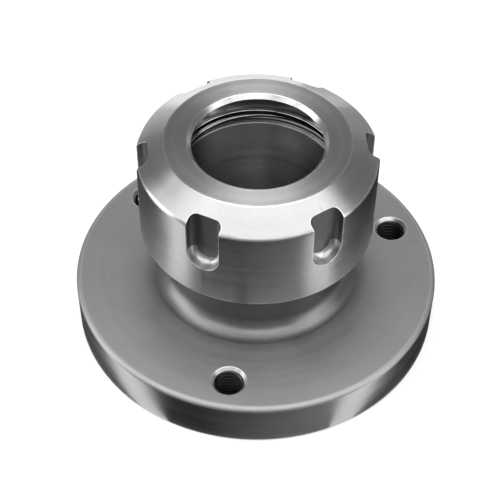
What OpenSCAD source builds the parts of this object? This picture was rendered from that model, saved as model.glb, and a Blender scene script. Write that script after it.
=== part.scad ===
// Collet chuck for a small lathe. One turned body carries a flange that bolts to the
// spindle, a neck and a threaded nose bored with a taper for a spring collet. A slotted
// nut screws onto the nose, and an eccentric ring held loose inside the nut pulls the
// collet out again when the nut is unscrewed.
// Millimetres. The origin is the centre of the flange's back face. +Z points out of the
// nut's mouth, along the axis that everything is turned about.

/* [Flange] */
// Outside diameter of the flange
flange_d = 80; // [70:1:100]
// Thickness of the flange
flange_t = 11; // [9:0.5:16]
// Radius turned on the flange's front edge
flange_edge_r = 1; // [0.4:0.1:2]
// Chamfer on the flange's back edge and on the register's mouth
back_edge_c = 0.5; // [0.2:0.1:1]
// Diameter of the register recess that centres the chuck on the spindle
register_d = 55; // [50:0.5:60]
// Depth of the register recess
register_depth = 3.5; // [2.5:0.5:5]
// Pitch circle diameter of the mounting screws
screw_pcd = 66; // [64:0.5:70]
// Number of mounting screws
screw_count = 3; // [3:1:6]
// Core diameter of the tapped mounting holes
screw_core_d = 5; // [4.2:0.1:6.8]
// Diameter of the countersink over each tapped hole
screw_sink_d = 7.4; // [6.4:0.1:9]
// Direction of the first mounting hole, in degrees from +X
screw_angle = 20.5; // [0:0.5:120]

/* [Neck and nose] */
// Height of the nose's end face above the flange's front face
nose_h = 27.6; // [24:0.2:34]
// Major diameter of the nose thread
thread_d = 40; // [36:0.5:42]
// Length of the threaded part of the nose
thread_l = 14; // [12:0.5:16]
// Pitch of the nose thread
thread_pitch = 1.5; // [1:0.25:2]
// How far the neck lies inside the thread's root
neck_relief = 0.1; // [0.05:0.05:1]
// Radius of the fillet between the neck and the flange
neck_fillet_r = 4; // [2:0.5:5]

/* [Collet taper] */
// Diameter of the taper at the nose's end face
taper_d = 33; // [31:0.1:34]
// Half angle of the taper, in degrees
taper_angle = 8; // [7:0.1:9]
// Length of the taper
taper_l = 29.5; // [24:0.5:31]
// Chamfer around the taper's mouth
taper_mouth_c = 0.2; // [0.1:0.1:1]
// Diameter of the bore behind the taper
rear_bore_d = 23; // [20:0.5:23.5]

/* [Clamping nut] */
// Outside diameter of the nut
nut_d = 50; // [48:0.5:56]
// Length of the nut
nut_l = 22.5; // [21:0.5:26]
// Outside diameter of the nut's flat front face
face_d = 38.4; // [36:0.2:42]
// Angle of the cone behind the front face, in degrees below the face
face_cone = 30; // [20:1:35]
// Radius that blends the cone into the nut's side
shoulder_r = 1.1; // [0.5:0.1:2]
// Chamfer on the nut's rear edge
nut_rear_c = 0.5; // [0.2:0.1:1]
// Chamfer around the nut's mouth
mouth_c = 0.9; // [0.4:0.1:1.2]
// Diameter of the nut's mouth
mouth_d = 27.1; // [26:0.1:28]
// Half angle of the collet seat inside the mouth, in degrees
seat_angle = 30; // [28:1:32]
// Diameter at the wide end of the collet seat
seat_d = 33; // [32.4:0.1:33.4]
// Depth of the sharp relief groove at the wide end of the collet seat
seat_relief_h = 0.5; // [0.2:0.1:0.8]
// Length between the collet seat and the ring's groove, relief groove included
land_l = 1.6; // [1:0.1:2.4]
// Length of the lip rolled in behind the ring to hold it
lip_l = 0.7; // [0.6:0.1:1.2]
// How far that lip stands in from the ring's groove
lip_h = 0.6; // [0.4:0.1:0.7]
// Length of the runout groove ahead of the nut's thread
runout_l = 2; // [1.5:0.5:3]
// Depth of that groove behind the thread
runout_h = 0.4; // [0.2:0.1:0.6]
// Gap left between the nut's inner shoulder and the nose's end face
nut_gap = 0.3; // [0.2:0.1:1.5]
// Radial clearance of the nut on the thread
thread_fit = 0.05; // [0.02:0.01:0.1]

/* [Wrench slots] */
// Number of wrench slots
slot_count = 6; // [4:1:8]
// Width of a slot, the diameter of the cutter that made it
slot_w = 7; // [5:0.5:8]
// Depth of a slot below the nut's side
slot_depth = 2.6; // [2:0.1:3]
// Length of a slot, from the front face to its round end
slot_l = 14.4; // [11:0.2:16]
// Corner radius of the cutter, left where floor and walls meet
slot_corner_r = 1.4; // [0.5:0.1:1.6]
// Direction of the first slot, in degrees from +X
slot_angle = 4.4; // [0:0.2:60]

/* [Extraction ring] */
// Outside diameter of the ring
ring_d = 36.4; // [36:0.1:37]
// Thickness of the ring
ring_t = 1.2; // [1:0.1:1.6]
// Diameter of the ring's bore, which is turned off centre
ring_bore_d = 33.2; // [33:0.1:34]
// How far the bore lies off the ring's centre
ring_offset = 0.8; // [0.4:0.1:1.2]
// Direction in which the bore lies off centre, in degrees from +X
ring_angle = 0; // [0:5:355]
// Chamfer on the edges of the ring's bore
ring_c = 0.4; // [0.1:0.05:0.5]
// Running clearance of the ring in its groove, on each side
ring_fit = 0.06; // [0.03:0.01:0.1]

/* [Hidden] */
$fn = 96;
// How far a cutting shape runs past the face that it cuts
over = 1;
// How far a rounding's arc crosses the sides that it joins, so that each edge is sharp
bite = 0.001;
nose_z = flange_t + nose_h;
thread_r = thread_d / 2 - thread_fit;
thread_h = 0.6 * thread_pitch;
thread_c = thread_h + 0.1;
neck_r = thread_d / 2 - thread_h - neck_relief;
taper_small_r = taper_d / 2 - taper_l * tan(taper_angle);
seat_l = (seat_d - mouth_d) / 2 / tan(seat_angle);
groove_z = mouth_c + seat_l + land_l;
groove_l = ring_t + 2 * ring_fit;
groove_r = ring_d / 2 + ring_fit;
shoulder_z = groove_z + groove_l + lip_l;
nut_face_z = nose_z + nut_gap + shoulder_z;
runout_r = thread_d / 2 + runout_h;
cone_drop = (nut_d - face_d) / 2 * tan(face_cone);
slot_floor = nut_d / 2 - slot_depth;
steel = [0.62, 0.63, 0.65];
bright_steel = [0.74, 0.75, 0.77];
hard_steel = [0.5, 0.51, 0.54];

// What a rounded edge takes off a sharp corner. The origin is the centre of its arc, one
// of the corner's sides faces along +X and the other faces the given number of degrees on.
module rounding(r, turn) {
  difference() {
    polygon([
      [0, 0],
      [2 * r, 0],
      [2 * r, 2 * r * tan(turn / 2)],
      [2 * r * cos(turn), 2 * r * sin(turn)]
    ]);
    circle(r = r + bite);
  }
}

// Half section of the body's outside, with radius along X and height along Y.
module body_outline() {
  difference() {
    polygon([
      [0, 0],
      [flange_d / 2 - back_edge_c, 0],
      [flange_d / 2, back_edge_c],
      [flange_d / 2, flange_t],
      [neck_r, flange_t],
      [neck_r, nose_z - thread_l - thread_c],
      [thread_r, nose_z - thread_l],
      [thread_r, nose_z - thread_c],
      [thread_r - thread_c, nose_z],
      [0, nose_z]
    ]);
    translate([flange_d / 2 - flange_edge_r, flange_t - flange_edge_r])
      rounding(flange_edge_r, 90);
  }
  // Fillet at the foot of the neck
  difference() {
    translate([neck_r - over, flange_t - over])
      square([neck_fillet_r + over, neck_fillet_r + over]);
    translate([neck_r + neck_fillet_r, flange_t + neck_fillet_r])
      circle(r = neck_fillet_r);
  }
}

// Half section of the hollow through the body: register, rear bore, taper and its mouth.
module body_hollow() {
  mouth_r = taper_d / 2 + taper_mouth_c;
  polygon([
    [0, -over],
    [register_d / 2 + back_edge_c + over, -over],
    [register_d / 2 + back_edge_c, 0],
    [register_d / 2, back_edge_c],
    [register_d / 2, register_depth],
    [rear_bore_d / 2, register_depth],
    [rear_bore_d / 2, nose_z - taper_mouth_c - taper_l],
    [taper_small_r, nose_z - taper_mouth_c - taper_l],
    [taper_d / 2, nose_z - taper_mouth_c],
    [mouth_r, nose_z],
    [mouth_r, nose_z + over],
    [0, nose_z + over]
  ]);
}

// Core of one tapped hole with its countersink and a light chamfer at the back.
module screw_hole() {
  core_r = screw_core_d / 2;
  sink_r = screw_sink_d / 2;
  rotate_extrude()
    polygon([
      [0, -over],
      [core_r + back_edge_c + over, -over],
      [core_r + back_edge_c, 0],
      [core_r, back_edge_c],
      [core_r, flange_t - (sink_r - core_r)],
      [sink_r, flange_t],
      [sink_r + over, flange_t + over],
      [0, flange_t + over]
    ]);
}

module chuck_body() {
  color(steel)
    difference() {
      rotate_extrude()
        difference() {
          body_outline();
          body_hollow();
        }
      for (i = [0 : screw_count - 1])
        rotate([0, 0, screw_angle + i * 360 / screw_count])
          translate([screw_pcd / 2, 0, 0])
            screw_hole();
    }
}

// Half section of the nut's outside. Y is measured from the front face, down into the nut.
module nut_outline() {
  r = nut_d / 2;
  turn = 90 - face_cone;
  difference() {
    polygon([
      [0, 0],
      [face_d / 2, 0],
      [r, -cone_drop],
      [r, -nut_l + nut_rear_c],
      [r - nut_rear_c, -nut_l],
      [0, -nut_l]
    ]);
    translate([r - shoulder_r, -cone_drop - shoulder_r * tan(turn / 2)])
      rounding(shoulder_r, turn);
  }
}

// Half section of the hollow through the nut, from its mouth to the thread.
module nut_hollow() {
  mouth_r = mouth_d / 2;
  bore_r = thread_d / 2;
  polygon([
    [0, over],
    [mouth_r + mouth_c + over, over],
    [mouth_r + mouth_c, 0],
    [mouth_r, -mouth_c],
    [seat_d / 2, -mouth_c - seat_l],
    [seat_d / 2 + seat_relief_h, -mouth_c - seat_l],
    [seat_d / 2, -mouth_c - seat_l - seat_relief_h],
    [seat_d / 2, -groove_z],
    [groove_r, -groove_z],
    [groove_r, -groove_z - groove_l],
    [groove_r - lip_h, -groove_z - groove_l],
    [groove_r - lip_h, -shoulder_z],
    [runout_r, -shoulder_z],
    [runout_r, -shoulder_z - runout_l],
    [bore_r, -shoulder_z - runout_l - runout_h],
    [bore_r, -nut_l + thread_c],
    [bore_r + thread_c, -nut_l],
    [bore_r + thread_c + over, -nut_l - over],
    [0, -nut_l - over]
  ]);
}

// Section across a slot: the floor is at X 0 and rounded corners join it to the walls.
module slot_section(reach) {
  half = slot_w / 2;
  flat = half - slot_corner_r;
  translate([slot_corner_r, -half])
    square([reach - slot_corner_r, slot_w]);
  translate([0, -flat])
    square([reach, 2 * flat]);
  for (side = [-1, 1])
    translate([slot_corner_r, side * flat])
      circle(r = slot_corner_r);
}

// The room that the cutter leaves: it comes down from the front face and stops, so the
// slot's lower end is as round as the cutter.
module wrench_slot() {
  reach = slot_depth + over;
  end_z = -slot_l + slot_w / 2;
  translate([slot_floor, 0, end_z])
    linear_extrude(height = over - end_z)
      slot_section(reach);
  translate([slot_floor, 0, end_z])
    rotate([0, 90, 0])
      rotate([0, 0, -90])
        rotate_extrude(angle = 180)
          intersection() {
            rotate([0, 0, 90])
              slot_section(reach);
            square([slot_w, reach]);
          }
}

module clamping_nut() {
  color(bright_steel)
    translate([0, 0, nut_face_z])
      rotate([0, 0, slot_angle])
        difference() {
          rotate_extrude()
            difference() {
              nut_outline();
              nut_hollow();
            }
          for (i = [0 : slot_count - 1])
            rotate([0, 0, i * 360 / slot_count])
              wrench_slot();
        }
}

module extraction_ring() {
  bore_r = ring_bore_d / 2;
  color(hard_steel)
    translate([0, 0, nut_face_z - groove_z - ring_fit - ring_t])
      rotate([0, 0, ring_angle])
        difference() {
          cylinder(h = ring_t, r = ring_d / 2);
          translate([ring_offset, 0, 0])
            rotate_extrude()
              polygon([
                [0, -over],
                [bore_r + ring_c + over, -over],
                [bore_r + ring_c, 0],
                [bore_r, ring_c],
                [bore_r, ring_t - ring_c],
                [bore_r + ring_c, ring_t],
                [bore_r + ring_c + over, ring_t + over],
                [0, ring_t + over]
              ]);
        }
}

chuck_body();
clamping_nut();
extraction_ring();
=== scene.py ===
"""Collet chuck in machined steel: a flanged body, a slotted clamping nut and the nut's ring.

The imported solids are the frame. Each turned piece is made again here with its thread, its
broken edges and its machining marks, on the same sizes as the solid that it stands for.
Lengths in the classes are millimetres; meshes are in metres.
"""

import logging  # noqa: E402
import math  # noqa: E402
from collections.abc import Callable  # noqa: E402
from dataclasses import dataclass, field  # noqa: E402
from enum import Enum  # noqa: E402

import bmesh  # noqa: E402
import bpy  # noqa: E402
import numpy as np  # noqa: E402
from mathutils import Matrix, Vector  # noqa: E402
from mathutils.geometry import delaunay_2d_cdt  # noqa: E402

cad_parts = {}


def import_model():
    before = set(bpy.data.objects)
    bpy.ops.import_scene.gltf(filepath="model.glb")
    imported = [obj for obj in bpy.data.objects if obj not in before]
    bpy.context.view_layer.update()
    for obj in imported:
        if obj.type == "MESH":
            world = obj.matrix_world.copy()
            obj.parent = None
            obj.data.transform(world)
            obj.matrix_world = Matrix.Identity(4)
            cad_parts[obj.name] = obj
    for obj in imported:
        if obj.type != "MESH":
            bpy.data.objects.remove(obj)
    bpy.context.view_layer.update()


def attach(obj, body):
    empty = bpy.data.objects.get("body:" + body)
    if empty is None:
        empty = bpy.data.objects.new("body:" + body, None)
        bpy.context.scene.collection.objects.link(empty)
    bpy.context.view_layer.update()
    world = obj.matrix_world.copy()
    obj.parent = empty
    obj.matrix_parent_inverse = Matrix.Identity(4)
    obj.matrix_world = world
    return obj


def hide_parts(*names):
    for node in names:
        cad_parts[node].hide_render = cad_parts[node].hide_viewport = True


log = logging.getLogger("collet_chuck")
MM = 0.001
TURN = 2 * math.pi
# points whose coordinates round to the same number of these become one
WELDS_PER_MM = 1e4
# faces that meet at more than this are shaded with a crease
CREASE = math.radians(38)
# fall of a bevel in the mouth for its width: flatter than 45 degrees, to catch light
BEVEL_FALL = 0.58


# ---------------------------------------------------------------- shapes as arrays


def eased(corners: np.ndarray, radius: float | np.ndarray, steps: int = 4) -> np.ndarray:
    """Round the inner corners of an open profile and keep its straights straight.

    Each corner gives way to a curve that leaves both sides at the same distance and bends
    from one to the other as a parabola with the corner as its handle. A guard point on each
    side, a little beyond the curve, keeps the shading of the straight part flat.

    Args:
        corners: (n, 2) points of the profile, radius and height.
        radius: distance from a corner at which its curve starts, one for all or one each. It
            is never more than a share of the straights beside the corner.
        steps: spans in each curve.

    Returns:
        (m, 3) points: radius, height and edge, which is 1 on a curve and 0 on a straight.
    """
    share, guard = 0.3, 1.6
    corners = np.asarray(corners, float)
    reach = np.broadcast_to(np.asarray(radius, float), (len(corners) - 2,))
    out = [(*corners[0], 0.0)]
    bend = np.linspace(0, 1, steps + 1)[:, None]
    for here, before, after, r in zip(corners[1:-1], corners[:-2], corners[2:], reach):
        back, ahead = before - here, after - here
        far_back, far_ahead = np.hypot(*back), np.hypot(*ahead)
        back, ahead = back / far_back, ahead / far_ahead
        r = min(r, share * far_back, share * far_ahead)
        start, end = here + back * r, here + ahead * r
        curve = (1 - bend) ** 2 * start + 2 * bend * (1 - bend) * here + bend**2 * end
        out.append((*(here + back * guard * r), 0.0))
        out.extend((*p, 1.0) for p in curve)
        out.append((*(here + ahead * guard * r), 0.0))
    out.append((*corners[-1], 0.0))
    return np.array(out)


def arc(centre: tuple[float, float], r: float, start: float, end: float, steps: int) -> np.ndarray:
    """Points on a circle's arc.

    Args:
        centre: middle of the circle.
        r: its radius.
        start: first direction, in degrees.
        end: last direction, in degrees.
        steps: spans between them.

    Returns:
        (steps + 1, 2) points: the middle plus the radius times cosine and sine.
    """
    a = np.radians(np.linspace(start, end, steps + 1))
    return np.stack([centre[0] + r * np.cos(a), centre[1] + r * np.sin(a)], 1)


def turned(profile: np.ndarray, angles: np.ndarray) -> np.ndarray:
    """Carry a profile round the axis.

    Args:
        profile: (m, 3) radius, height and edge.
        angles: (n,) directions in radians.

    Returns:
        (m, n, 4) grid: radius times cosine, radius times sine, height, edge.
    """
    r, z, edge = (profile[:, i, None] for i in range(3))
    c, s = np.cos(angles)[None], np.sin(angles)[None]
    flat = np.ones_like(c)
    return np.stack([r * c, r * s, z * flat, edge * flat], -1)


@dataclass
class Thread:
    """A screw thread's surface between two heights, cut outside a shaft or inside a bore."""

    major_r: float
    pitch: float
    low: float
    high: float
    # radius that the ends reach, at low and at high
    low_r: float
    high_r: float
    inside: bool = False
    # in pitches: half the crest's width, the root's depth, how strongly the root bends, and
    # the depth from which it does
    crest: float = 0.0625
    root: float = 0.585
    root_bend: float = 2.2
    root_from: float = 0.49
    # where the rows of one turn lie, in pitches from the middle of a crest
    rows: tuple[float, ...] = (
        *(-0.0775, -0.05, 0.05, 0.0775, 0.14, 0.22, 0.3, 0.375),
        *(0.43, 0.5, 0.57, 0.625, 0.7, 0.78, 0.86),
    )
    # millimetres of depth over which the crest counts as an edge
    worn: float = 0.03

    def flank(self, s: np.ndarray) -> np.ndarray:
        """Depth at a share of the pitch: flat crest, 60 degree flanks and a rounded root.

        Args:
            s: distance from the middle of a crest along the axis, in pitches.

        Returns:
            Depth below the crest, in pitches: from the crest's edge it grows by 1.732 times
            the distance, until the root's curve takes over.
        """
        off = np.abs(s - np.round(s))
        straight = np.clip((off - self.crest) * math.sqrt(3), 0, None)
        root = self.root - self.root_bend * (0.5 - off) ** 2
        return np.minimum(straight, np.maximum(root, self.root_from))

    def band(self, angles: np.ndarray) -> np.ndarray:
        """The thread as a grid whose rows follow the helix, so that crests stay sharp.

        Height is pitch times (turns up + share of the pitch + angle over a full turn), held
        between the ends. Radius is the major radius less the depth, which is taken half a
        pitch further on inside a bore, and it never passes the 45 degree bevels at the ends.

        Args:
            angles: (n,) directions in radians, first and last a full turn apart.

        Returns:
            (m, n, 4) grid of x, y, height and edge.
        """
        first = math.floor(self.low / self.pitch) - 2
        last = math.ceil(self.high / self.pitch) + 1
        s = (np.arange(first, last)[:, None] + np.array(self.rows)[None]).ravel()[:, None]
        flat = np.ones_like(angles)[None]
        depth = self.flank(s) * self.pitch * flat
        z = np.clip((s + angles[None] / TURN) * self.pitch, self.low, self.high)
        if self.inside:
            bevels = np.maximum(self.low_r - (z - self.low), self.high_r - (self.high - z))
            r = np.maximum(self.major_r - self.flank(s + 0.5) * self.pitch * flat, bevels)
        else:
            bevels = np.minimum(self.low_r + (z - self.low), self.high_r + (self.high - z))
            r = np.minimum(self.major_r - depth, bevels)
        edge = (depth < self.worn) * 1.0
        return np.stack([r * np.cos(angles)[None], r * np.sin(angles)[None], z, edge], -1)


def placed(name: str, data: bpy.types.ID) -> bpy.types.Object:
    """Make an object from its data and put it in the scene.

    Args:
        name: the object's name.
        data: its mesh, lamp or camera.

    Returns:
        The object.
    """
    made = bpy.data.objects.new(name, data)
    bpy.context.scene.collection.objects.link(made)
    return made


@dataclass
class Skin:
    """The points and faces of one piece while it is put together from grids."""

    name: str
    points: list[np.ndarray] = field(default_factory=list)
    quads: list[np.ndarray] = field(default_factory=list)
    count: int = 0

    def grid(self, p: np.ndarray, keep: np.ndarray | None = None) -> None:
        """Add a grid of points as quads.

        Args:
            p: (m, n, 4) points in millimetres, with edge as the fourth number.
            keep: (m - 1, n - 1) which quads to make, or None for all.
        """
        m, n = p.shape[:2]
        at = np.arange(m * n).reshape(m, n) + self.count
        q = np.stack([at[:-1, :-1], at[:-1, 1:], at[1:, 1:], at[1:, :-1]], -1)
        self.quads.append((q if keep is None else q[keep]).reshape(-1, 4))
        self.points.append(p.reshape(-1, 4))
        self.count += m * n

    def fan(self, p: np.ndarray, tris: np.ndarray) -> None:
        """Add loose triangles.

        Args:
            p: (k, 4) points in millimetres with edge.
            tris: (t, 3) corners of the triangles.
        """
        self.quads.append(np.column_stack([tris, tris[:, 2]]) + self.count)
        self.points.append(p)
        self.count += len(p)

    def finished(
        self,
        body: str,
        node: str | None,
        finishes: list[bpy.types.Material],
        finish_at: Callable[[np.ndarray], np.ndarray] | None = None,
    ) -> bpy.types.Object:
        """Weld the grids, drop what collapsed, and make the piece.

        Points that agree to a tenth of a micrometre are one. A quad with two corners
        alike is a triangle, and one with more has no area and goes.

        Args:
            body: the body that the piece rides on.
            node: the solid that it stands for, or None.
            finishes: its materials.
            finish_at: gives the number of the finish at each of some points, or None for
                the first everywhere.

        Returns:
            The new object, at the origin.
        """
        p, q = np.concatenate(self.points), np.concatenate(self.quads)
        key = np.round(p[:, :3] * WELDS_PER_MM).astype(np.int64)
        _, first, same = np.unique(key, axis=0, return_index=True, return_inverse=True)
        q, p = same.ravel()[q], p[first]
        a, b, c, d = q.T
        ab, bc, cd, da = a == b, b == c, c == d, d == a
        good = (ab * 1 + bc + cd + da < 2) & (a != c) & (b != d)
        four = good & ~(ab | bc | cd | da)
        three = good & ~four
        tri = np.where(bc[:, None], q[:, [0, 1, 3]], q[:, [0, 1, 2]])
        tri = np.where(ab[:, None], q[:, [0, 2, 3]], tri)
        mesh = bpy.data.meshes.new(self.name)
        mesh.from_pydata((p[:, :3] * MM).tolist(), [], q[four].tolist() + tri[three].tolist())
        mesh.validate()
        wear = mesh.attributes.new("edge_wear", "FLOAT", "POINT")
        wear.data.foreach_set("value", p[:, 3].astype(np.float32))
        bm = bmesh.new()
        bm.from_mesh(mesh)
        bmesh.ops.recalc_face_normals(bm, faces=bm.faces)
        bm.to_mesh(mesh)
        bm.free()
        mesh.polygons.foreach_set("use_smooth", np.ones(len(mesh.polygons), bool))
        mesh.set_sharp_from_angle(angle=CREASE)
        for finish in finishes:
            mesh.materials.append(finish)
        if finish_at:
            middles = np.empty(3 * len(mesh.polygons), np.float32)
            mesh.polygons.foreach_get("center", middles)
            chosen = finish_at(middles.reshape(-1, 3) / MM).astype(np.int32)
            mesh.polygons.foreach_set("material_index", chosen)
        piece = placed(self.name, mesh)
        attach(piece, body)
        if node:
            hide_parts(node)
        sizes = (len(mesh.vertices), len(mesh.polygons))
        log.info("%s: %d points, %d faces, on %s", self.name, *sizes, body)
        return piece


# ---------------------------------------------------------------- finishes


def linear(hex_colour: str) -> tuple[float, float, float, float]:
    """Turn an sRGB hex colour into the linear colour that shaders use.

    Args:
        hex_colour: six hex digits after a hash.

    Returns:
        Red, green, blue and 1.
    """
    c = np.array([int(hex_colour[i : i + 2], 16) for i in (1, 3, 5)]) / 255
    c = np.where(c <= 0.04045, c / 12.92, ((c + 0.055) / 1.055) ** 2.4)
    return (*c.tolist(), 1.0)


def node(
    tree: bpy.types.NodeTree,
    kind: str,
    links: dict[str | int, object] | None = None,
    **settings: str | bool,
) -> bpy.types.bpy_prop_collection:
    """Add a node, set what is given and link its inputs.

    Args:
        tree: the material's node tree.
        kind: the node's type name without its family.
        links: input name or number to an output socket, or to a plain value.
        **settings: attributes of the node.

    Returns:
        The node's outputs.
    """
    made = tree.nodes.new("ShaderNode" + kind)
    for name, value in settings.items():
        setattr(made, name, value)
    for key, value in (links or {}).items():
        if isinstance(value, bpy.types.NodeSocket):
            tree.links.new(value, made.inputs[key])
        else:
            made.inputs[key].default_value = value
    return made.outputs


class Lay(Enum):
    """Which way the tool left its marks."""

    TURNED = "rings about the chuck's axis"
    NONE = "no direction"


@dataclass(frozen=True)
class SteelFinish:
    """Bare machined steel.

    Colour is the metal's own, a neutral grey, which some finishes darken as painted shade.
    Roughness says how far the surface spreads a reflection. The tool's rings are a height
    pattern along the profile with a real spacing, and they spread reflections across the
    rings more than along them.
    """

    name: str
    colour: str
    edge_colour: str
    roughness: float
    spread: float
    ring_mm: float
    ring_depth: float
    mottle_mm: float = 9.0
    lay: Lay = Lay.TURNED
    # radii between which a painted shade round the neck thins out, and how much of the colour it
    # leaves
    painted_shade_mm: tuple[float, float] | None = None
    painted_shade_keeps: float = 0.5
    # the same for all: the bands' width, the grain's size and the wander of the painted shade's
    # edge
    band_mm: float = 1.7
    grain_mm: float = 0.5
    ragged_mm: float = 2.0
    # factors on the colour over mottle, bands and grain, then on the roughness over mottle,
    # and what bands and worn edges add to it
    mottle_tone: tuple[float, float] = (0.88, 1.12)
    band_tone: tuple[float, float] = (0.94, 1.06)
    grain_tone: tuple[float, float] = (0.93, 1.07)
    mottle_rough: tuple[float, float] = (0.84, 1.16)
    band_rough: float = 0.13
    edge_rough: float = -0.15

    def material(self) -> bpy.types.Material:
        """Make the finish as a node material.

        Returns:
            The material, on Object coordinates and the piece's own edge_wear attribute.
        """
        made = bpy.data.materials.new(self.name)
        made.use_nodes = True
        t = made.node_tree
        shader = t.nodes["Principled BSDF"]
        place = node(t, "TexCoord")["Object"]
        part = node(t, "SeparateXYZ", {0: place})
        flat = node(t, "CombineXYZ", {0: part[0], 1: part[1]})[0]
        r = node(t, "VectorMath", {0: flat}, operation="LENGTH")["Value"]
        # how far along the profile a point lies, so that rings run on faces, cones and sides
        along = node(t, "Math", {0: r, 1: part[2]}, operation="ADD")[0]
        # size, detail and roughness of each noise, and whether it runs along or through
        line, solid = ({"W": along}, "1D"), ({"Vector": place}, "3D")
        noises = (
            (self.ring_mm, 2.0, 0.6, line),
            (self.band_mm, 2.0, 0.5, line),
            (self.mottle_mm, 5.0, 0.6, solid),
            (self.grain_mm, 2.0, 0.5, solid),
        )
        patterns = []
        for size, detail, broken, (at, kind) in noises:
            links = {"Scale": 1 / (size * MM), "Detail": detail, "Roughness": broken, **at}
            patterns.append(node(t, "TexNoise", links, noise_dimensions=kind)[0])
        rings, bands, mottle, grain = patterns
        wear = node(t, "Attribute", attribute_name="edge_wear")["Fac"]

        factors = []
        tones = ((mottle, self.mottle_tone), (bands, self.band_tone), (grain, self.grain_tone))
        for pattern, (dark, light) in tones:
            span = {0: pattern, 3: dark, 4: light}
            factors.append(node(t, "MapRange", span, clamp=False)[0])
        # painted shade: the colour darkens towards the neck, out to a ragged radius
        if self.painted_shade_mm:
            wander = {0: mottle, 1: self.ragged_mm * MM, 2: r}
            ragged = node(t, "Math", wander, operation="MULTIPLY_ADD")[0]
            near, far = (radius * MM for radius in self.painted_shade_mm)
            span = {0: ragged, 1: near, 2: far, 3: self.painted_shade_keeps, 4: 1.0}
            factors.append(node(t, "MapRange", span, interpolation_type="SMOOTHSTEP")[0])
        tone = factors[0]
        for factor in factors[1:]:
            tone = node(t, "Math", {0: tone, 1: factor}, operation="MULTIPLY")[0]
        metal = {0: linear(self.colour)[:3], "Scale": tone}
        base = node(t, "VectorMath", metal, operation="SCALE")[0]
        ends = {0: wear, 6: base, 7: linear(self.edge_colour)}
        worn = node(t, "Mix", ends, data_type="RGBA")[2]
        t.links.new(worn, shader.inputs["Base Color"])

        rough = self.roughness
        span = {0: mottle, 3: self.mottle_rough[0] * rough, 4: self.mottle_rough[1] * rough}
        fine = node(t, "MapRange", span, clamp=False)[0]
        span = {0: bands, 3: -self.band_rough * rough, 4: self.band_rough * rough}
        streak = node(t, "MapRange", span, clamp=False)[0]
        smooth = node(t, "MapRange", {0: wear, 3: 0.0, 4: self.edge_rough * rough})[0]
        uneven = node(t, "Math", {0: fine, 1: streak}, operation="ADD")[0]
        uneven = node(t, "Math", {0: uneven, 1: smooth}, operation="ADD")[0]
        t.links.new(uneven, shader.inputs["Roughness"])

        marks = {"Height": rings if self.lay is Lay.TURNED else grain}
        marks |= {"Strength": 1.0, "Distance": self.ring_depth * MM}
        t.links.new(node(t, "Bump", marks)[0], shader.inputs["Normal"])
        shader.inputs["Metallic"].default_value = 1.0
        if self.lay is Lay.TURNED:
            # the tangent runs along the rings; a quarter turn lays the spread across them
            shader.inputs["Anisotropic"].default_value = self.spread
            shader.inputs["Anisotropic Rotation"].default_value = 0.25
            ring = node(t, "Tangent", direction_type="RADIAL", axis="Z")[0]
            t.links.new(ring, shader.inputs["Tangent"])
        return made


# ---------------------------------------------------------------- pieces


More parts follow.
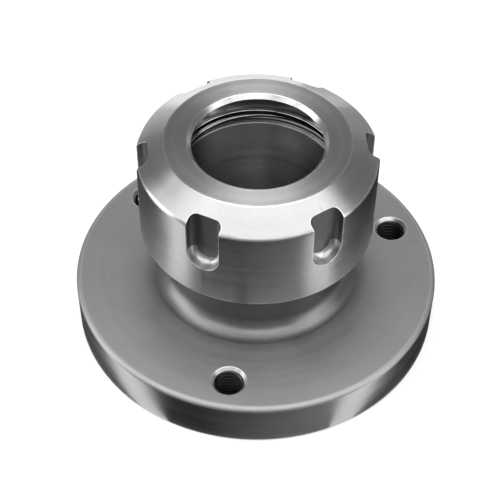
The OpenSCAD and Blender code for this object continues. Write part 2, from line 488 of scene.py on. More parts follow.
@dataclass
class ChuckBody:
    """The turned body: flange with tapped holes, neck, threaded nose and collet taper."""

    flange_r: float = 40.0
    flange_t: float = 11.0
    flange_edge: float = 1.0
    back_c: float = 0.5
    register_r: float = 27.5
    register_depth: float = 3.5
    screw_circle_r: float = 33.0
    screw_angles: tuple[float, ...] = (20.5, 140.5, 260.5)
    core_r: float = 2.5
    sink_r: float = 3.7
    screw_pitch: float = 1.0
    nose_z: float = 38.6
    thread_r: float = 19.95
    thread_l: float = 14.0
    pitch: float = 1.5
    thread_c: float = 1.0
    neck_r: float = 19.0
    fillet: float = 4.0
    taper_r: float = 16.5
    taper_angle: float = 8.0
    taper_l: float = 29.5
    mouth_c: float = 0.2
    rear_r: float = 11.5
    # the M6 thread's depth in pitches, and the flats that go with a rim or a profile
    screw_depth: float = 0.6
    sink_land: float = 0.4
    core_land: float = 0.9
    register_land: float = 1.4
    rim_land: float = 1.2
    # broken edges outside and inside, guard points beside a curve, and the big round's wear
    edge: float = 0.12
    inner_edge: float = 0.1
    face_guard: float = 0.25
    guard: float = 0.3
    rim_wear: float = 0.5
    columns: int = 240
    hole_columns: int = 48
    rim_steps: int = 10
    fillet_steps: int = 16

    @property
    def neck_top(self) -> float:
        """Height at which the neck gives way to the nose's thread."""
        return self.nose_z - self.thread_l - self.thread_c

    @property
    def screw_r(self) -> float:
        """Radius of the M6 threads' root."""
        return self.core_r + self.screw_depth * self.screw_pitch

    def rim(self) -> np.ndarray:
        """Profile round the flange, from its front face over the side to its back face.

        Returns:
            (m, 3) radius, height and edge: a quarter circle in front, a bevel at the back.
        """
        e, r, t = self.flange_edge, self.flange_r, self.flange_t
        front = arc((r - e, t - e), e, 90, 0, self.rim_steps)
        front = np.column_stack([front, np.full(len(front), self.rim_wear)])
        corners = [(r, t - e), (r, self.back_c), (r - self.back_c, 0), (r - self.rim_land, 0)]
        lower = eased(corners, self.edge)
        inner, outer = [(r - e - self.face_guard, t, 0)], [(r, t - e - self.guard, 0)]
        return np.vstack([inner, front, outer, lower[1:]])

    def hollow(self) -> np.ndarray:
        """Profile of the register, rear bore, taper and end face, from the back to the nose.

        The taper's small radius is its large one less its length times its angle's tangent.

        Returns:
            (m, 3) radius, height and edge.
        """
        small_r = self.taper_r - self.taper_l * math.tan(math.radians(self.taper_angle))
        taper_top = self.nose_z - self.mouth_c
        corners = [
            (self.register_r + self.register_land, 0),
            (self.register_r + self.back_c, 0),
            (self.register_r, self.back_c),
            (self.register_r, self.register_depth),
            (self.rear_r, self.register_depth),
            (self.rear_r, taper_top - self.taper_l),
            (small_r, taper_top - self.taper_l),
            (self.taper_r, self.nose_z - BEVEL_FALL * self.mouth_c),
            (self.taper_r + self.mouth_c, self.nose_z),
            (self.thread_r - self.thread_c, self.nose_z),
        ]
        return eased(corners, self.inner_edge)

    def neck(self) -> np.ndarray:
        """Profile of the neck and its fillet, from the thread's end to the flange's face.

        Returns:
            (m, 3) radius, height and edge: a straight, then a hollow quarter circle.
        """
        r, z, out = self.neck_r, self.neck_top, self.neck_r + self.fillet
        foot = arc((out, self.flange_t + self.fillet), self.fillet, 180, 270, self.fillet_steps)
        upper, end = [(r, z), (r, (z + foot[0, 1]) / 2)], [(out + self.guard, self.flange_t)]
        rows = np.vstack([upper, foot, end])
        return np.column_stack([rows, np.zeros(len(rows))])

    def holed_face(
        self, skin: Skin, inner: float, outer: float, hole: float, z: float, angles: np.ndarray
    ) -> None:
        """Add one flat face of the flange, a ring with the three holes left out.

        The rims are joined by triangles, worked out in the plane. A triangle with all three
        corners on a hole's rim, or on the inner rim, lies in the opening and is left out.

        Args:
            skin: the piece under construction.
            inner: radius of the inner rim.
            outer: radius of the outer rim.
            hole: radius of the holes' rims.
            z: height of the face.
            angles: directions of the points on both rims.
        """
        a = angles[:-1]
        loops = [np.column_stack([r * np.cos(a), r * np.sin(a)]) for r in (outer, inner)]
        a = np.linspace(0, TURN, self.hole_columns + 1)[:-1]
        rim = hole * np.column_stack([np.cos(a), np.sin(a)])
        loops += [middle + rim for middle in self.hole_middles()]
        flat = np.concatenate(loops)
        starts = np.cumsum([0] + [len(v) for v in loops])
        edges = []
        for start, end in zip(starts, starts[1:]):
            edges += [(i, i + 1 if i + 1 < end else start) for i in range(start, end)]
        near, plan = 1e-7, [Vector(v) for v in flat.tolist()]
        _, _, tris, came, *_ = delaunay_2d_cdt(plan, edges, [], 0, near)
        # the corners are taken as they were handed in, which is exact
        first, tris = np.array([c[0] for c in came]), np.array(tris)
        p = flat[first]
        loop = np.searchsorted(starts, first, side="right")[tris]
        filled = (loop[:, 0] == loop[:, 1]) & (loop[:, 1] == loop[:, 2]) & (loop[:, 0] > 1)
        skin.fan(np.column_stack([p, np.full(len(p), z), np.zeros(len(p))]), tris[~filled])

    def hole_middles(self) -> np.ndarray:
        """Middles of the three tapped holes, (3, 2)."""
        a = np.radians(self.screw_angles)
        return self.screw_circle_r * np.column_stack([np.cos(a), np.sin(a)])

    def tapped_hole(self, skin: Skin, middle: np.ndarray) -> None:
        """Add one tapped hole: countersink at the front, thread, light bevel at the back.

        Args:
            skin: the piece under construction.
            middle: where its axis stands.
        """
        angles = np.linspace(0, TURN, self.hole_columns + 1)
        top, deep = self.flange_t, self.screw_r
        sink_low = top - (self.sink_r - deep)
        cut = Thread(deep, self.screw_pitch, 0.0, sink_low, deep, deep, inside=True)
        sink = [(deep, sink_low), (self.sink_r, top), (self.sink_r + self.sink_land, top)]
        upper = eased(sink, self.edge)
        lower = np.array([(self.core_r + self.core_land, 0, 0), (deep, 0, 0)])
        for rows in (turned(upper, angles), cut.band(angles), turned(lower, angles)):
            rows = rows.copy()
            rows[..., :2] += middle
            skin.grid(rows)

    def finish_at(self, p: np.ndarray) -> np.ndarray:
        """Which finish the body has at each point.

        Args:
            p: (n, 3) points in millimetres.

        Returns:
            (n,) 0 for turned, 1 for the flange's faced front and its rounded edge, 2 for the
            ground taper, 3 for the tapped holes and 4 for the neck and its fillet.
        """
        r, z = np.hypot(p[:, 0], p[:, 1]), p[:, 2]
        edge_r, edge_z = self.flange_r - self.flange_edge, self.flange_t - self.flange_edge
        foot_r = self.neck_r + self.fillet
        # the small lengths hold a face's middle on the right side of each limit
        faced = (abs(z - self.flange_t) < 0.02) & (r > foot_r) & (r < edge_r)
        faced |= (z > edge_z) & (r > edge_r - 0.01)
        neck = (z > self.flange_t) & (z < self.neck_top)
        neck &= (r > self.neck_r - 0.1) & (r < foot_r + 0.01)
        ground = (r < self.taper_r + self.mouth_c + 0.05) & (z > self.register_depth + 0.1)
        hole = np.min([np.hypot(*(p[:, :2] - m).T) for m in self.hole_middles()], axis=0)
        tapped = (hole < self.screw_r + 0.05) & (z < self.flange_t - 0.05)
        return faced * 1 + ground * 2 + tapped * 3 + neck * 4

    def build(self, finishes: list[bpy.types.Material]) -> bpy.types.Object:
        """Make the body.

        Args:
            finishes: turned, faced, ground, tapped and the neck's.

        Returns:
            The finished piece.
        """
        skin = Skin("turned_body")
        angles = np.linspace(0, TURN, self.columns + 1)
        rim, hollow, neck = self.rim(), self.hollow(), self.neck()
        for profile in (rim, hollow, neck):
            skin.grid(turned(profile, angles))
        ends = (self.neck_top, self.nose_z, self.neck_r, self.thread_r - self.thread_c)
        skin.grid(Thread(self.thread_r, self.pitch, *ends).band(angles))
        sink, core = self.sink_r + self.sink_land, self.core_r + self.core_land
        self.holed_face(skin, neck[-1, 0], rim[0, 0], sink, self.flange_t, angles)
        self.holed_face(skin, hollow[0, 0], rim[-1, 0], core, 0.0, angles)
        for middle in self.hole_middles():
            self.tapped_hole(skin, middle)
        return skin.finished("chuck_body", "chuck_body", finishes, self.finish_at)


@dataclass
class ClampingNut:
    """The slotted nut. Heights are measured from its front face, down is negative."""

    face_z: float = 48.52955
    r: float = 25.0
    length: float = 22.5
    face_r: float = 19.2
    cone: float = 30.0
    shoulder: float = 1.1
    rear_c: float = 0.5
    mouth_r: float = 13.55
    mouth_c: float = 0.9
    seat_r: float = 16.5
    seat_angle: float = 30.0
    relief_h: float = 0.5
    land: float = 1.6
    groove_r: float = 18.26
    groove_l: float = 1.32
    lip_l: float = 0.7
    lip_h: float = 0.6
    runout_r: float = 20.4
    runout_l: float = 2.0
    bore_r: float = 20.0
    pitch: float = 1.5
    thread_c: float = 1.0
    slot_w: float = 7.0
    slot_floor: float = 22.4
    slot_l: float = 14.4
    slot_corner: float = 1.4
    slot_angle: float = 4.4
    slots: int = 6
    # the slots' broken edge, the mouth's, the face's and the rear's, and the shoulder's wear
    edge: float = 0.13
    inner_edge: float = 0.09
    face_edge: float = 0.16
    rear_edge: float = 0.12
    shoulder_wear: float = 0.35
    # flats of the front and rear faces that go with the outside's profile
    face_land: float = 1.5
    rear_land: float = 1.4
    # how far the relief's upper side falls for its depth
    relief_fall: float = 0.42
    arc_columns: int = 15
    path_columns: int = 26
    edge_columns: int = 4

    @property
    def cone_drop(self) -> float:
        """How far the cone falls before it would meet the side."""
        return (self.r - self.face_r) * math.tan(math.radians(self.cone))

    def outside(self) -> np.ndarray:
        """Profile from the front face over cone, shoulder and side to the rear face.

        The shoulder is an arc that touches cone and side. It leaves the side below the point
        where they would meet, by its radius times the tangent of half its turn.

        Returns:
            (m, 3) radius, height and edge.
        """
        r, rear = self.r, -self.length
        k = self.shoulder * math.tan(math.radians((90 - self.cone) / 2))
        turn = arc((r - self.shoulder, -self.cone_drop - k), self.shoulder, 90 - self.cone, 0, 8)
        face = [(self.face_r - self.face_land, 0), (self.face_r, 0)]
        upper = eased([*face, turn[0]], self.face_edge)
        foot = [(r, rear + self.rear_c), (r - self.rear_c, rear), (r - self.rear_land, rear)]
        lower = eased([turn[-1], *foot], self.rear_edge)
        worn = np.column_stack([turn[1:-1], np.full(len(turn) - 2, self.shoulder_wear)])
        return np.vstack([upper, worn, lower])

    def radius_at(self, z: np.ndarray) -> np.ndarray:
        """Outside radius at a height below the face's edge.

        Args:
            z: heights, negative.

        Returns:
            The profile's radius there, on the straight between its points.
        """
        on_face, margin = 3, 0.2
        p = self.outside()[on_face:]
        p = p[p[:, 1] > margin + self.rear_c - self.length]
        return np.interp(-np.asarray(z), -p[:, 1], p[:, 0])

    def slot_half(self, z: float, r: float) -> np.ndarray:
        """One half of a slot's section at a height, from its middle to the nut's outside.

        The cutter is round and bull-nosed: at a height h over the floor its radius is the
        flat's radius plus the root of corner squared less (corner less h) squared, up to half
        the slot's width. A section that lies a distance d below the centre of the slot's
        round end is as wide there as the root of that radius squared less d squared.

        Args:
            z: height of the section.
            r: the nut's outside radius there.

        Returns:
            (k, 2) points, outwards along the slot's middle and sideways, the last of them on
            the outside.
        """
        steps, wall_steps, wall_h = 60, 40, 2.2
        half, corner = self.slot_w / 2, self.slot_corner
        flat = half - corner
        a = np.linspace(0, math.pi / 2, steps)
        floor, bend = np.linspace(0, flat, steps), flat + corner * np.sin(a[1:])
        wide = np.concatenate([floor, bend, np.full(wall_steps, half)])
        rise, wall = corner * (1 - np.cos(a[1:])), corner + np.linspace(0.01, wall_h, wall_steps)
        deep = np.concatenate([np.zeros(steps), rise, wall])
        d = min(max(0.0, half - self.slot_l - z), half)
        cutter = slice(2 * steps)
        lead = np.interp(d, wide[cutter], deep[cutter]) if d > 0 else 0.0
        inside = wide >= d
        y = np.sqrt(np.clip(wide[inside] ** 2 - d * d, 0, None))
        x = self.slot_floor + deep[inside]
        x, y = np.r_[self.slot_floor + lead, x], np.r_[0.0, y]
        reach = np.hypot(x, y)
        last = int(np.argmax(reach > r)) if (reach > r).any() else len(reach) - 1
        if last == 0:
            return np.array([[r, 0.0], [r, 0.0]])
        f = (r - reach[last - 1]) / (reach[last] - reach[last - 1])
        end = [v[last - 1] + f * (v[last] - v[last - 1]) for v in (x, y)]
        return np.vstack([np.column_stack([x[:last], y[:last]]), end])

    def row(self, z: float, r: float, edge: float, slotted: bool) -> np.ndarray:
        """One sector of the nut's outside at a height, from slot middle to half way on.

        In a slotted row the points run along the slot's floor, corner and wall, then round
        the broken edge, then along the outside. In a plain row the first ones are all at the
        slot's middle.

        Args:
            z: height below the face.
            r: outside radius there.
            edge: edge value of the plain outside.
            slotted: whether the slot is cut at this height.

        Returns:
            (n, 4) points of the half sector on the side of growing angles.
        """
        half, share, seen = math.pi / self.slots, 0.3, 0.02
        path = self.slot_half(z, r) if slotted else np.array([[r, 0.0], [r, 0.0]])
        along = np.r_[0, np.cumsum(np.hypot(*np.diff(path, axis=0).T))]
        corner = path[-1]
        size = min(self.edge, share * along[-1])
        s = np.linspace(0, along[-1] - size, self.path_columns)
        wall = np.column_stack([np.interp(s, along, v) for v in path.T])
        start = math.atan2(corner[1], corner[0]) + size / r
        on = np.array([r * math.cos(start), r * math.sin(start)])
        b = np.linspace(0, 1, self.edge_columns + 1)[:, None]
        bend = (1 - b) ** 2 * wall[-1] + 2 * b * (1 - b) * corner + b**2 * on
        # a guard column beside the broken edge, then even steps
        a = np.r_[start + size / r, np.linspace(start + 0.02, half, self.arc_columns - 1)]
        rest = r * np.column_stack([np.cos(a), np.sin(a)])
        flat = np.vstack([wall, bend[1:], rest])
        broken = np.ones(self.edge_columns + 1) * (size > seen)
        worn = np.r_[np.zeros(self.path_columns - 1), broken, np.full(self.arc_columns, edge)]
        return np.column_stack([flat, np.full(len(flat), z), worn])

    def skin_rows(self) -> tuple[np.ndarray, np.ndarray]:
        """Half-sector rows over the whole outside, and which of them are slotted.

        Returns:
            (m, n, 4) points and (m,) flags.
        """
        top = -(self.slot_floor - self.face_r) * math.tan(math.radians(self.cone))
        end = self.slot_w / 2 - self.slot_l
        out = self.outside()
        z = out[:, 1]
        # the slot's tip on the cone, its straight part and its round end, finer at both ends
        tip_h, below_end = 1.1, 0.14
        tip = top - tip_h * np.linspace(0, 1, 13) ** 2
        straight = np.linspace(tip[-1], end, 14)[1:-1]
        round_end = end - self.slot_w / 2 * np.sin(np.linspace(0, math.pi / 2, 18))
        body = np.r_[tip, straight, round_end, z[(z < tip[-1] + 0.02) & (z > end)]]
        body = np.unique(np.round(body, 6))[::-1]
        above, below = out[z > top + 0.05], out[z < round_end[-1] - 0.3]
        rows = [self.row(z, r, e, False) for r, z, e in above]
        rows += [self.row(z, float(self.radius_at(z)), 0.0, True) for z in body]
        rows += [self.row(-self.slot_l - below_end, self.r, 0.0, False)]
        rows += [self.row(z, r, e, False) for r, z, e in below]
        flags = np.repeat([False, True, False], [len(above), len(body), 1 + len(below)])
        return np.array(rows), flags

    def columns(self, rows: np.ndarray) -> np.ndarray:
        """Carry half-sector rows to all the sectors, mirrored about each slot's middle.

        Args:
            rows: (m, n, 4) half-sector rows.

        Returns:
            (m, k, 4) full rows that close on themselves.
        """
        mirrored = rows[:, ::-1].copy()
        mirrored[..., 1] *= -1
        sector = np.concatenate([mirrored, rows[:, 1:]], 1)
        out = []
        for i in range(self.slots):
            a = math.radians(self.slot_angle) + i * TURN / self.slots
            c, s = math.cos(a), math.sin(a)
            x, y, z, edge = np.moveaxis(sector, -1, 0)
            whole = np.stack([x * c - y * s, x * s + y * c, z, edge], -1)
            out.append(whole[:, (i > 0) * 1 :])
        return np.concatenate(out, 1)

    def hollow(self) -> np.ndarray:
        """Profile of the mouth, seat, ring groove and runout, from the face to the thread.

        The seat's length is what its radius grows over its angle's tangent.

        Returns:
            (m, 3) radius, height and edge.
        """
        seat_l = (self.seat_r - self.mouth_r) / math.tan(math.radians(self.seat_angle))
        foot = -self.mouth_c - seat_l
        groove = foot - self.land
        lip = groove - self.groove_l
        shoulder = lip - self.lip_l
        corners = [
            (self.face_r - self.face_land, 0),
            (self.mouth_r + self.mouth_c, 0),
            (self.mouth_r, -self.mouth_c),
            (self.seat_r, foot),
            (self.seat_r + self.relief_h, foot - self.relief_fall * self.relief_h),
            (self.seat_r, foot - self.relief_h),
            (self.seat_r, groove),
            (self.groove_r, groove),
            (self.groove_r, lip),
            (self.groove_r - self.lip_h, lip),
            (self.groove_r - self.lip_h, shoulder),
            (self.runout_r, shoulder),
            (self.runout_r, shoulder - self.runout_l),
        ]
        return eased(corners, self.inner_edge)

    def finish_at(self, p: np.ndarray) -> np.ndarray:
        """Which finish the nut has at each point.

        Args:
            p: (n, 3) points in millimetres.

        Returns:
            (n,) 0 for ground, 1 for the slots' milled floors and walls, 2 for the polished
            seat and 3 for the chamfer at the mouth.
        """
        r, z = np.hypot(p[:, 0], p[:, 1]), p[:, 2] - self.face_z
        turn = np.arctan2(p[:, 1], p[:, 0]) - math.radians(self.slot_angle)
        sector = TURN / self.slots
        off = turn - np.round(turn / sector) * sector
        x, y = r * np.cos(off), r * np.sin(off)
        # the small lengths hold a face's middle on the right side of each limit
        inside = (x > self.slot_floor - 0.05) & (abs(y) < self.slot_w / 2 + 0.01)
        inside &= r < self.radius_at(z) - 0.1
        milled = inside & ((x < self.slot_floor + 0.03) | (z > self.slot_w / 2 - self.slot_l))
        polished = (r < self.seat_r + self.relief_h + 0.05) & (z < -self.mouth_c - 0.02)
        chamfer = (r < self.mouth_r + self.mouth_c - 0.01) & (z >= -self.mouth_c - 0.02)
        return milled * 1 + polished * 2 + chamfer * 3

    def build(self, finishes: list[bpy.types.Material]) -> bpy.types.Object:
        """Make the nut.

        Args:
            finishes: ground, milled, polished and the chamfer's.

        Returns:
            The finished piece.
        """
        skin = Skin("slotted_nut")
        rows, slotted = self.skin_rows()
        full = self.columns(rows)
        # below the slot's round end both its sides have met, so nothing is made between them
        last = int(np.flatnonzero(slotted)[-1])
        per = 2 * (self.path_columns + self.edge_columns + self.arc_columns) - 2
        middle = self.edge_columns + self.arc_columns
        keep = np.ones((full.shape[0] - 1, full.shape[1] - 1), bool)
        for i in range(self.slots):
            keep[last, i * per + middle : i * per + per - middle] = False
        full[..., 2] += self.face_z
        skin.grid(full, keep)
        plain = full[0]
        angles = np.unwrap(np.arctan2(plain[:, 1], plain[:, 0]))
        inner = self.hollow()
        inner[:, 1] += self.face_z
        skin.grid(turned(inner, angles))
        low, rear_r = self.face_z - self.length, self.bore_r + self.thread_c
        ends = (low, inner[-1, 1], rear_r, self.runout_r)
        skin.grid(Thread(self.bore_r, self.pitch, *ends, inside=True).band(angles))
        rear = np.array([(rear_r, low, 0), (self.r - self.rear_land, low, 0)])
        skin.grid(turned(rear, angles))
        return skin.finished("clamping_nut", "clamping_nut", finishes, self.finish_at)


@dataclass
class ExtractionRing:
    """The thin ring in the nut's groove, whose bore is turned off centre."""

    r: float = 18.2
    bore_r: float = 16.6
    offset: float = 0.8
    thickness: float = 1.2
    bevel: float = 0.4
    top: float = 40.86
    edge: float = 0.07
    columns: int = 160

    def build(self, material: bpy.types.Material) -> bpy.types.Object:
        """Make the ring.

        Its section is carried round the axis, and each point also moves sideways by the
        offset times a weight that is 1 on the bore and 0 on the outside.

        Args:
            material: its finish.

        Returns:
            The finished piece.
        """
        b, t, c = self.bore_r, self.thickness, self.bevel
        upper = [(self.r, -t / 2), (self.r, 0), (b + c, 0), (b, -BEVEL_FALL * c)]
        lower = [(b, c - t), (b + c, -t), (self.r, -t), (self.r, -t / 2)]
        section = eased(upper + lower, self.edge)
        angles = np.linspace(0, TURN, self.columns + 1)
        weight = (section[:, 0] < (self.r + b) / 2)[:, None] * np.ones_like(angles)[None]
        grid = turned(section, angles)
        grid[..., 0] += self.offset * weight
        grid[..., 2] += self.top
        skin = Skin("eccentric_ring")
        skin.grid(grid)
        return skin.finished("extraction_ring", "extraction_ring", [material])


# ---------------------------------------------------------------- studio


@dataclass(frozen=True)
class Panel:
    """One soft lamp: its middle, which way it faces, how big it is and how bright its face is."""

    name: str
    place: tuple[float, float, float]
    # direction of its back, as degrees round from the camera's side and degrees up
    azimuth: float
    elevation: float
    size: tuple[float, float]
    level: float

    def light(self) -> None:
        """Add the lamp, its width level. Its power is its level times its area times pi."""
        a, e = math.radians(self.azimuth), math.radians(self.elevation)
        back = Vector((math.sin(a) * math.cos(e), -math.cos(a) * math.cos(e), math.sin(e)))
        wide = Vector((math.cos(a), math.sin(a), 0))
        data = bpy.data.lights.new(self.name, "AREA")
        data.shape = "RECTANGLE"
        data.size, data.size_y = self.size
        data.energy = self.level * self.size[0] * self.size[1] * math.pi
        facing = Matrix((wide, back.cross(wide), back)).transposed().to_4x4()
        placed(self.name, data).matrix_world = Matrix.Translation(self.place) @ facing
        log.info("lamp %s", self.name)


@dataclass(frozen=True)
class Flag:
    """A dark cloth on the floor at the foot of the chuck, from one direction to another.

    A photographer cuts the reflections in bare metal with such cloths and leaves gaps where
    the pale floor is to shine. Only the metal sees them. Directions are degrees round from
    the camera's side, and the side edges are plan points outwards in millimetres.
    """

    name: str
    start: float
    end: float
    start_edge: tuple[tuple[float, float], ...]
    end_edge: tuple[tuple[float, float], ...]
    inner_r: float = 40.2
    # directions between which its colour pales from charcoal to grey, a painted soft light in what
    # the metal mirrors, if it does
    fade: tuple[float, float] | None = None
    height: float = 0.4

    def lay(self) -> None:
        """Lay the cloth: an arc about the chuck's foot, closed through both side edges."""
        a = np.radians(np.linspace(self.start, self.end, 40))
        foot = self.inner_r * np.column_stack([np.sin(a), -np.cos(a)])
        sides = np.reshape(self.end_edge + self.start_edge[::-1], (-1, 2))
        plan = np.vstack([foot, sides]) * MM
        points = [(x, y, self.height * MM) for x, y in plan.tolist()]
        mesh = bpy.data.meshes.new(self.name)
        mesh.from_pydata(points, [], [list(range(len(plan)))])
        mesh.materials.append(matt_cloth(self.name + "_cloth", self.fade))
        cloth = placed(self.name, mesh)
        cloth.visible_camera = cloth.visible_diffuse = cloth.visible_shadow = False


def matt_cloth(name: str, fade: tuple[float, float] | None) -> bpy.types.Material:
    """Charcoal matt cloth of the flags, with a woven grain.

    Args:
        name: the material's name.
        fade: directions, in degrees round from the camera's side, between which it pales as
        painted soft light in the reflections, or None for charcoal all over.

    Returns:
        The material.
    """
    made = bpy.data.materials.new(name)
    made.use_nodes = True
    t = made.node_tree
    shader = t.nodes["Principled BSDF"]
    charcoal, grey = linear("#232325"), linear("#858588")
    place = node(t, "TexCoord")["Object"]
    pile = node(t, "TexNoise", {"Vector": place, "Scale": 400.0})[0]
    weave = node(t, "Bump", {"Height": pile, "Distance": 0.1 * MM})[0]
    t.links.new(weave, shader.inputs["Normal"])
    shader.inputs["Base Color"].default_value = charcoal
    if fade:
        part = node(t, "SeparateXYZ", {0: place})
        near = node(t, "Math", {0: part[1], 1: -1.0}, operation="MULTIPLY")[0]
        turn = node(t, "Math", {0: part[0], 1: near}, operation="ARCTAN2")[0]
        span = {0: turn, 1: math.radians(fade[0]), 2: math.radians(fade[1])}
        pale = node(t, "MapRange", span)[0]
        # the painted light is full beside the flange only, and little from a few millimetres
        # further on
        span = {0: near, 1: 46 * MM, 2: 51 * MM, 3: 1.0, 4: 0.3}
        strip = node(t, "MapRange", span)[0]
        pale = node(t, "Math", {0: pale, 1: strip}, operation="MULTIPLY")[0]
        charcoal_to_painted_grey = node(t, "Mix", {0: pale, 6: charcoal, 7: grey}, data_type="RGBA")[2]
        t.links.new(charcoal_to_painted_grey, shader.inputs["Base Color"])
    shader.inputs["Roughness"].default_value = 1.0
    shader.inputs["Specular IOR Level"].default_value = 0.0
    return made


@dataclass
class Studio:
    """Camera, floor, flags, lamps and the even light around them."""

    tilt: float = 47.092
    roll: float = 0.576
    distance: float = 257.55
    across: float = 1.578
    up: float = 22.366
    focal_px: float = 1273.0
    picture_px: int = 500
    sensor_mm: float = 36.0
    target_z: float = 48.543
    room_level: float = 0.2
    # the floor in metres: its flat part's radius, the sweep's and its height at the edge
    floor_r: float = 2.3
    sweep_r: float = 0.25
    sweep_h: float = 0.32
    floor_columns: int = 96
    # the paper's shine, near and far, and the distances between which it grows
    paper_shine: float = 0.25
    far_shine: float = 0.7
    shine_m: tuple[float, float] = (0.4, 1.4)
    panels: tuple[Panel, ...] = (
        Panel("overhead_softbox", (0.03, -0.10, 0.75), 0.0, 90.0, (1.5, 0.45), 1.65),
        Panel("overhead_strip", (0.0, 0.27, 0.75), 0.0, 90.0, (0.28, 0.28), 4.5),
        Panel("front_softbox", (0.0, -0.60, 0.62), 0.0, 46.0, (0.5, 0.28), 2.5),
        Panel("front_left_fill", (-0.46, -0.46, 0.50), -45.0, 37.0, (0.42, 0.3), 2.1),
        Panel("front_right_fill", (0.35, -0.52, 0.56), 34.0, 41.0, (0.26, 0.3), 2.1),
        Panel("left_softbox", (-0.573, -0.02, 0.209), -88.0, 20.0, (0.34, 0.52), 2.4),
        Panel("right_softbox", (0.516, -0.251, 0.209), 64.0, 20.0, (0.34, 0.52), 1.85),
        Panel("back_panel", (0.0, 0.8, 0.06), 180.0, 0.0, (0.6, 0.22), 2.0),
    )
    flags: tuple[Flag, ...] = (
        Flag(
            "front_flag",
            start=-27.0,
            end=23.0,
            start_edge=((-44.0, -35.0), (-57.0, -42.3), (-1200, -320)),
            end_edge=((34.0, -43.8), (46.0, -51.2), (1200, -400), (1200, -1300), (-1200, -1300)),
            fade=(-16.0, 22.0),
        ),
        Flag(
            "right_flag",
            start=31.0,
            end=170.0,
            start_edge=((48.5, -28.5), (60.5, -33.0), (1200, -220)),
            end_edge=((190, 1100), (1200, 1100)),
        ),
        Flag(
            "left_flag",
            start=-139.0,
            end=-37.5,
            start_edge=((-900, 1100), (-1200, 1100)),
            end_edge=((-47.5, -19.0), (-58.5, -18.0), (-1200, 120)),
        ),
        # a dark disc under the chuck that only the metal sees: painted shade on the floor that the
        # bore shows
        Flag("painted_shade_under_chuck", start=-180.0, end=171.0, start_edge=(), end_edge=(), inner_r=38.0),
    )

    def camera(self) -> None:
        """Stand the camera where the photograph was taken from."""
        el, turn = math.radians(self.tilt), math.radians(self.roll)
        back = Vector((0, -math.cos(el), math.sin(el)))
        right, up = Vector((1, 0, 0)), Vector((0, math.sin(el), math.cos(el)))
        r2 = right * math.cos(turn) + up * math.sin(turn)
        u2 = -right * math.sin(turn) + up * math.cos(turn)
        target = Vector((0, 0, self.target_z))
        place = back * self.distance - r2 * self.across - u2 * self.up + target
        data = bpy.data.cameras.new("camera")
        data.sensor_width = self.sensor_mm
        data.lens = self.focal_px / self.picture_px * data.sensor_width
        data.clip_start, data.clip_end = 0.01, 20.0
        eye = placed("camera", data)
        facing = Matrix((r2, u2, back)).transposed().to_4x4()
        eye.matrix_world = Matrix.Translation(place * MM) @ facing
        bpy.context.scene.camera = eye

    def floor(self) -> None:
        """Lay the pale floor, a disc whose edge sweeps up in a quarter circle far out."""
        made = bpy.data.materials.new("pale_paper")
        made.use_nodes = True
        t = made.node_tree
        shader = t.nodes["Principled BSDF"]
        place = node(t, "TexCoord")["Object"]
        fibre = node(t, "TexNoise", {"Vector": place, "Scale": 900.0})[0]
        tooth = node(t, "Bump", {"Height": fibre, "Distance": 0.02 * MM})[0]
        t.links.new(tooth, shader.inputs["Normal"])
        shader.inputs["Base Color"].default_value = linear("#f6f6f6")
        shader.inputs["Roughness"].default_value = 0.95
        shader.inputs["Specular IOR Level"].default_value = 0.1
        # the paper looks a little whiter than the lamps make it, to the eye and in mirrors
        ray = node(t, "LightPath")
        seen = ray["Is Camera Ray"]
        for kind in ("Is Glossy Ray", "Is Transmission Ray"):
            seen = node(t, "Math", {0: seen, 1: ray[kind]}, operation="ADD")[0]
        shader.inputs["Emission Color"].default_value = (1, 1, 1, 1)
        # and more so far out, where less of their light falls
        away = node(t, "VectorMath", {0: place}, operation="LENGTH")["Value"]
        near, far = self.shine_m
        span = {0: away, 1: near, 2: far, 3: self.paper_shine, 4: self.far_shine}
        shine = node(t, "MapRange", span, interpolation_type="SMOOTHSTEP")[0]
        glow = node(t, "Math", {0: seen, 1: shine}, operation="MULTIPLY")[0]
        t.links.new(glow, shader.inputs["Emission Strength"])

        flat, r = [(self.floor_r - 0.1, 0.0)], self.sweep_r
        edge = [(self.floor_r + r, self.sweep_h)]
        sweep = np.vstack([flat, arc((self.floor_r, r), r, 270, 360, 10), edge])
        profile = np.column_stack([sweep, np.zeros(len(sweep))])
        rings = turned(profile, np.linspace(0, TURN, self.floor_columns + 1))[:, :-1, :3]
        n = self.floor_columns
        faces = [list(range(n))]
        for low in range(0, n * (len(rings) - 1), n):
            corners = ((low + i, low + n + i, low + (i + 1) % n) for i in range(n))
            faces += [[a, b, c + n, c] for a, b, c in corners]
        mesh = bpy.data.meshes.new("floor")
        mesh.from_pydata(rings.reshape(-1, 3).tolist(), [], faces)
        mesh.shade_smooth()
        mesh.materials.append(made)
        ground = placed("floor", mesh)

    def world(self) -> None:
        """Fill the room with an even dim light."""
        room = bpy.data.worlds.new("room")
        room.use_nodes = True
        air = room.node_tree.nodes["Background"].inputs
        air["Color"].default_value = (*[self.room_level] * 3, 1)
        air["Strength"].default_value = 1.0
        bpy.context.scene.world = room

    def build(self) -> None:
        """Set the whole studio up."""
        bpy.context.scene.view_settings.view_transform = "Standard"
        self.camera()
        self.floor()
        self.world()
        for flag in self.flags:
            flag.lay()
        for panel in self.panels:
            panel.light()


# Turned and ground carbon steel: mid grey, fine rings, a soft broken reflection
BODY_STEEL = SteelFinish("turned_carbon_steel", "#b8b8b8", "#d4d4d4", 0.33, 0.6, 0.28, 0.003)
# Painted shade under the nut: it darkens the neck and thins out on the flange
NECK_PAINTED_SHADE = {"painted_shade_mm": (18.0, 27.0), "painted_shade_keeps": 0.25}
# The same steel on the flange's front face, where a fine facing cut leaves it dull, with the
# painted shade round the neck's foot
FACED_STEEL = SteelFinish("faced_carbon_steel", "#a5a5a5", "#c6c6c6", 0.60, 0.2, 0.3, 0.004, **NECK_PAINTED_SHADE)
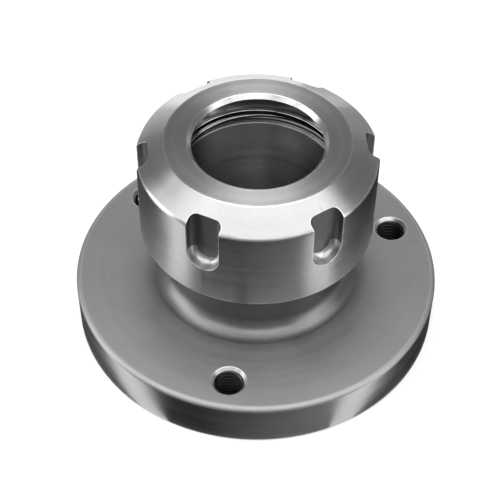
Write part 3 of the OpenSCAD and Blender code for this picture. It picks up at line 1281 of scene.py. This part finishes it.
# The same steel ground inside the collet taper: fine rings that draw highlights out along it, and a
# darker grey as painted shade in the bore
TAPER_STEEL = SteelFinish("ground_taper_steel_painted_shade", "#a0a0a0", "#aaaaaa", 0.335, 0.96, 0.2, 0.0005)
# The neck and its fillet, darkened by that painted shade
NECK_STEEL = SteelFinish("painted_shade_neck_steel", "#b8b8b8", "#c0c0c0", 0.38, 0.2, 0.35, 0.003, **NECK_PAINTED_SHADE)
# The tapped holes: cut steel, coloured near black
TAPPED_STEEL = SteelFinish(
    "near_black_tapped_steel", "#2a2a2a", "#5a5a5a", 0.5, 0.0, 0.3, 0.004, lay=Lay.NONE
)
# Case-hardened and ground alloy steel: lighter, smoother, with fine rings
NUT_STEEL = SteelFinish("ground_alloy_steel", "#c6c6c6", "#e2e2e2", 0.31, 0.75, 0.22, 0.002)
# The nut's wrench slots: left as the end mill cut them, darker after hardening
MILLED_STEEL = SteelFinish(
    "end_milled_hard_steel", "#7e7e7e", "#bdbdbd", 0.5, 0.0, 0.3, 0.006, 3.0, lay=Lay.NONE
)
# The nut's collet seat: ground and polished, so it mirrors the dark bore sharply; its grey is
# darkened as painted shade inside the mouth
SEAT_STEEL = SteelFinish("polished_seat_steel_painted_shade", "#747474", "#d8d8d8", 0.12, 0.5, 0.2, 0.0002)
# The chamfer at its mouth: ground with the seat, but a little rougher
CHAMFER_STEEL = SteelFinish("ground_chamfer_steel", "#cdcdcd", "#e2e2e2", 0.28, 0.6, 0.2, 0.001)
# Hardened spring steel of the ring: darker, almost polished
RING_STEEL = SteelFinish("hardened_ring_steel", "#aaaaaa", "#dcdcdc", 0.13, 0.5, 0.2, 0.0004)


def main() -> None:
    """Load the frame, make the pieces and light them."""
    logging.basicConfig(level=logging.INFO, format="%(name)s: %(message)s")
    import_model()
    Studio().build()
    body_steels = (BODY_STEEL, FACED_STEEL, TAPER_STEEL, TAPPED_STEEL, NECK_STEEL)
    ChuckBody().build([f.material() for f in body_steels])
    nut_steels = (NUT_STEEL, MILLED_STEEL, SEAT_STEEL, CHAMFER_STEEL)
    ClampingNut().build([f.material() for f in nut_steels])
    ExtractionRing().build(RING_STEEL.material())


if __name__ == "__main__":
    main()
